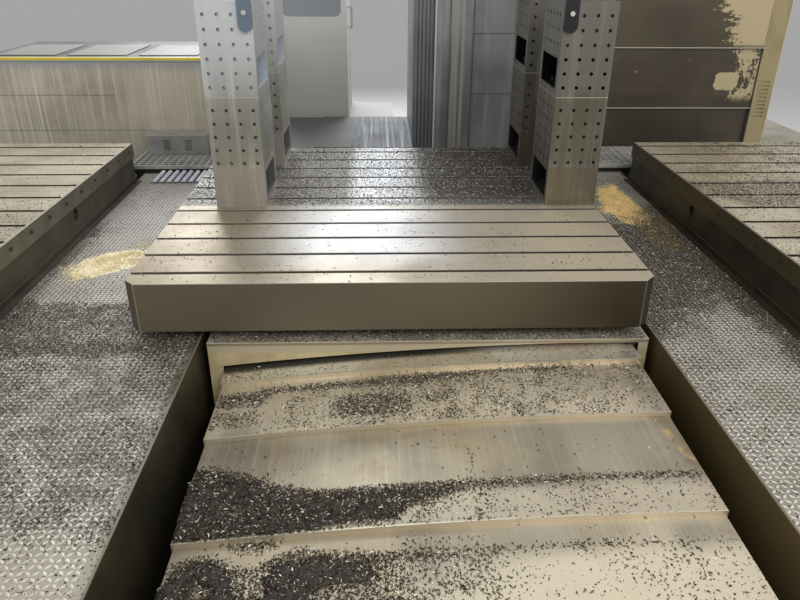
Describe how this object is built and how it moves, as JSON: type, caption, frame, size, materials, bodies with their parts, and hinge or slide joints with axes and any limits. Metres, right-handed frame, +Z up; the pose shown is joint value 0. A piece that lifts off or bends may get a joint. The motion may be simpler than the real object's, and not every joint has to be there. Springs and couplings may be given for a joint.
{
  "type": "cnc machining center",
  "caption": "Travelling-column machining center: T-slotted rotary table on a covered slide, fixture towers, floor plates, tread decks, column with ram spindle and a cab.",
  "frame": {"origin": "on the floor below the rotary table's axis", "axes": "+Z up, +Y from the operator's end of the bed towards the column, +X to the right seen from that end"},
  "size_m": [7.785, 8.04, 4.4603],
  "materials": {
    "bed_paint": "satin, dirty",
    "dark_sheet": "worn semi-gloss",
    "tread_plate": "worn tread, chips",
    "ground_steel": "ground, stained",
    "grating_steel": "galvanised, dirty",
    "pale_sheet": "worn",
    "guard_sheet": "streaked",
    "yellow_edge": "worn",
    "cover_steel": "brushed, stained",
    "cab_paint": "satin",
    "cab_glass": "clear",
    "beige_paint": "scraped",
    "machined_steel": "machined",
    "black_oxide": "black oxide",
    "column_paint": "dirty, scraped"
  },
  "bodies": {
    "frame": {"bed": "bed_paint", "trough_walls": "dark_sheet", "deck_left": "tread_plate", "deck_right": "tread_plate", "side_base_left": "bed_paint", "side_base_right": "bed_paint", "side_plate_left": "ground_steel", "side_plate_right": "ground_steel", "plate_bands": "dark_sheet", "plate_bolts": "black_oxide", "foot_rails": "dark_sheet", "gratings": "grating_steel", "rear_step": "pale_sheet", "terminal_box": "dark_sheet", "left_guard": "guard_sheet", "guard_edge": "yellow_edge", "walkway": "guard_sheet", "cross_bed": "bed_paint", "cross_cover_left_2": "cover_steel", "cross_cover_right_2": "cover_steel", "cab_shell": "cab_paint", "cab_window": "cab_glass", "screw_supports": "bed_paint", "feed_motor": "black_oxide", "front_cover_5": "cover_steel", "rear_cover_3": "cover_steel"},
    "saddle": {"saddle": "beige_paint", "saddle_plate": "beige_paint", "ball_nut": "machined_steel", "rotary_bearing": "machined_steel", "front_cover_1": "cover_steel", "rear_cover_1": "cover_steel"},
    "front_cover_2": {"front_cover_2": "cover_steel"},
    "front_cover_3": {"front_cover_3": "cover_steel"},
    "front_cover_4": {"front_cover_4": "cover_steel"},
    "rear_cover_2": {"rear_cover_2": "cover_steel"},
    "feed_screw": {"feed_screw": "machined_steel"},
    "table": {"table_top": "ground_steel", "table_ring": "machined_steel", "tower_front_left_lower": "machined_steel", "tower_front_left_upper": "machined_steel", "tower_front_right_lower": "machined_steel", "tower_front_right_upper": "machined_steel", "tower_rear_left_lower": "machined_steel", "tower_rear_left_upper": "machined_steel", "tower_rear_right_lower": "machined_steel", "tower_rear_right_upper": "machined_steel", "tower_bolts": "black_oxide", "stop_brackets": "black_oxide"},
    "column": {"column": "column_paint", "column_strips": "column_paint", "cross_cover_left_1": "cover_steel", "cross_cover_right_1": "cover_steel", "head_cover_3": "column_paint"},
    "head": {"headstock": "column_paint", "head_cover_1": "column_paint"},
    "head_cover_2": {"head_cover_2": "column_paint"},
    "ram": {"ram": "machined_steel"},
    "spindle": {"spindle": "machined_steel"},
    "cab_door": {"cab_door": "cab_paint"}
  },
  "joints": [
    {"name": "saddle_slide", "type": "slide", "parent": "frame", "child": "saddle", "axis": [0, 1, 0], "range_m": [-1.2, 0]},
    {"name": "front_cover_2_slide", "type": "slide", "parent": "frame", "child": "front_cover_2", "axis": [0, 1, 0], "range_m": [-1.1624, 0.002]},
    {"name": "front_cover_3_slide", "type": "slide", "parent": "frame", "child": "front_cover_3", "axis": [0, 1, 0], "range_m": [-0.776, 0.002]},
    {"name": "front_cover_4_slide", "type": "slide", "parent": "frame", "child": "front_cover_4", "axis": [0, 1, 0], "range_m": [-0.266, 0.002]},
    {"name": "rear_cover_2_slide", "type": "slide", "parent": "frame", "child": "rear_cover_2", "axis": [0, 1, 0], "range_m": [-0.602, 0.002]},
    {"name": "table_turn", "type": "hinge", "parent": "saddle", "child": "table", "pos_m": [0, 0, 1.12], "axis": [0, 0, 1], "continuous": true},
    {"name": "feed_screw_turn", "type": "hinge", "parent": "frame", "child": "feed_screw", "pos_m": [0, 0, 0.5], "axis": [0, 1, 0], "range_deg": [-10810, 10]},
    {"name": "column_slide", "type": "slide", "parent": "frame", "child": "column", "axis": [1, 0, 0], "range_m": [-0.56, 0]},
    {"name": "head_slide", "type": "slide", "parent": "column", "child": "head", "axis": [0, 0, 1], "range_m": [-0.55, 0.4]},
    {"name": "head_cover_2_slide", "type": "slide", "parent": "column", "child": "head_cover_2", "axis": [0, 0, 1], "range_m": [-0.277, 0.202]},
    {"name": "ram_slide", "type": "slide", "parent": "head", "child": "ram", "axis": [0, 1, 0], "range_m": [-0.7, 0]},
    {"name": "spindle_turn", "type": "hinge", "parent": "ram", "child": "spindle", "pos_m": [2.1, 2.3, 3.054], "axis": [0, -1, 0], "continuous": true},
    {"name": "cab_door_hinge", "type": "hinge", "parent": "frame", "child": "cab_door", "pos_m": [-0.378, 4.5892, 2], "axis": [0, 0, 1], "range_deg": [0, 95]}
  ],
  "couplings": [
    {"joint": "front_cover_2_slide", "follows": "saddle_slide", "ratio": 0.967},
    {"joint": "front_cover_3_slide", "follows": "saddle_slide", "ratio": 0.645},
    {"joint": "front_cover_4_slide", "follows": "saddle_slide", "ratio": 0.22},
    {"joint": "rear_cover_2_slide", "follows": "saddle_slide", "ratio": 0.5},
    {"joint": "feed_screw_turn", "follows": "saddle_slide", "rad_per_m": 157.08},
    {"joint": "head_cover_2_slide", "follows": "head_slide", "ratio": 0.5}
  ]
}
